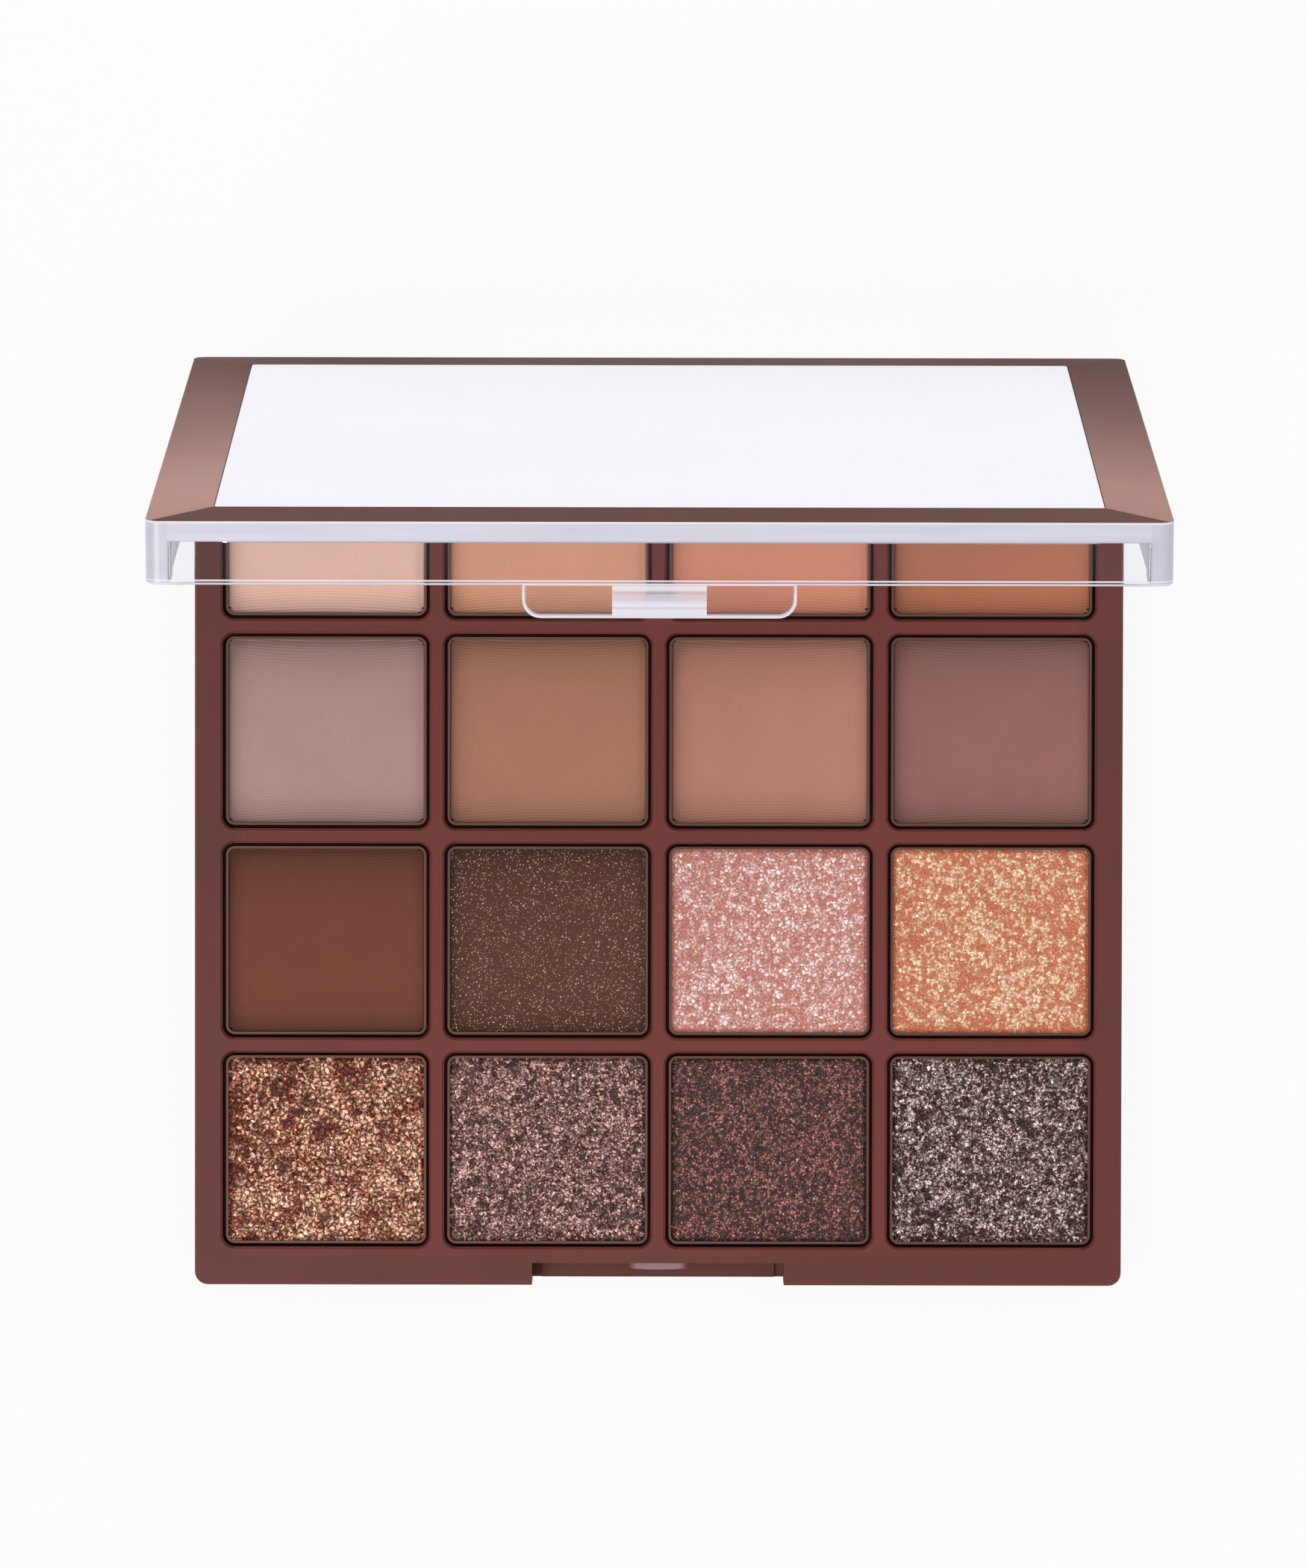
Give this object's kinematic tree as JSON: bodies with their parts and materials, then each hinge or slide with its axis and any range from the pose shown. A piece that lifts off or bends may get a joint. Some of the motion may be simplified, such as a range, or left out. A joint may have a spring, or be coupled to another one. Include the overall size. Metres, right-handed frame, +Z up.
{
  "type": "eyeshadow palette",
  "caption": "Flat square eyeshadow palette in brown plastic with metal pans of pressed powder and a hinged clear lid with a brown border, standing open.",
  "frame": {"origin": "centre of the underside, on the surface that the palette rests on", "axes": "+Z up, +Y towards the hinge, +X to the right as the user sees it"},
  "size_m": [0.1, 0.1, 0.1036],
  "materials": {
    "base_plastic": "satin, fine sheen",
    "clear_plastic": "clear and polished",
    "panel_white": "smooth, faintly lavender white",
    "pan_metal": "bright rim",
    "pin_steel": "ground",
    "mirror_glass": "silvered on the back",
    "tape": "foam adhesive sheet",
    "glue": "hot-melt dots",
    "powder_pale_peach": "pressed powder, matt",
    "powder_apricot_tan": "pressed powder, matt",
    "powder_salmon": "pressed powder, matt",
    "powder_burnt_orange": "pressed powder, matt",
    "powder_grey_taupe": "pressed powder, matt",
    "powder_tan_brown": "pressed powder, matt",
    "powder_rosy_brown": "pressed powder, matt",
    "powder_mauve_brown": "pressed powder, matt",
    "powder_red_brown": "pressed powder, matt",
    "powder_dark_brown": "pressed powder, matt with sparkles",
    "powder_pink_glitter": "pressed powder, metallic glitter",
    "powder_orange_glitter": "pressed powder, metallic glitter",
    "powder_copper_glitter": "pressed powder, metallic glitter",
    "powder_mauve_glitter": "pressed powder, metallic glitter",
    "powder_plum_shimmer": "pressed powder, metallic shimmer",
    "powder_slate_glitter": "pressed powder, metallic glitter"
  },
  "bodies": {
    "base": {"base_case": "base_plastic", "pan_tray": "base_plastic", "pan_glue": "glue", "hinge_pin_left": "pin_steel", "hinge_pin_right": "pin_steel", "pan_r1_c1": "pan_metal", "pan_r1_c2": "pan_metal", "pan_r1_c3": "pan_metal", "pan_r1_c4": "pan_metal", "pan_r2_c1": "pan_metal", "pan_r2_c2": "pan_metal", "pan_r2_c3": "pan_metal", "pan_r2_c4": "pan_metal", "pan_r3_c1": "pan_metal", "pan_r3_c2": "pan_metal", "pan_r3_c3": "pan_metal", "pan_r3_c4": "pan_metal", "pan_r4_c1": "pan_metal", "pan_r4_c2": "pan_metal", "pan_r4_c3": "pan_metal", "pan_r4_c4": "pan_metal", "powder_r1_c1": "powder_pale_peach", "powder_r1_c2": "powder_apricot_tan", "powder_r1_c3": "powder_salmon", "powder_r1_c4": "powder_burnt_orange", "powder_r2_c1": "powder_grey_taupe", "powder_r2_c2": "powder_tan_brown", "powder_r2_c3": "powder_rosy_brown", "powder_r2_c4": "powder_mauve_brown", "powder_r3_c1": "powder_red_brown", "powder_r3_c2": "powder_dark_brown", "powder_r3_c3": "powder_pink_glitter", "powder_r3_c4": "powder_orange_glitter", "powder_r4_c1": "powder_copper_glitter", "powder_r4_c2": "powder_mauve_glitter", "powder_r4_c3": "powder_plum_shimmer", "powder_r4_c4": "powder_slate_glitter"},
    "lid": {"lid_shell": "clear_plastic", "lid_frame": "base_plastic", "lid_panel": "panel_white", "mirror_tape": "tape", "mirror": "mirror_glass"}
  },
  "joints": [
    {"name": "lid_hinge", "type": "hinge", "parent": "base", "child": "lid", "pos_m": [0, 0.0465, 0.009], "axis": [-1, 0, 0], "range_deg": [-80, 35]}
  ]
}
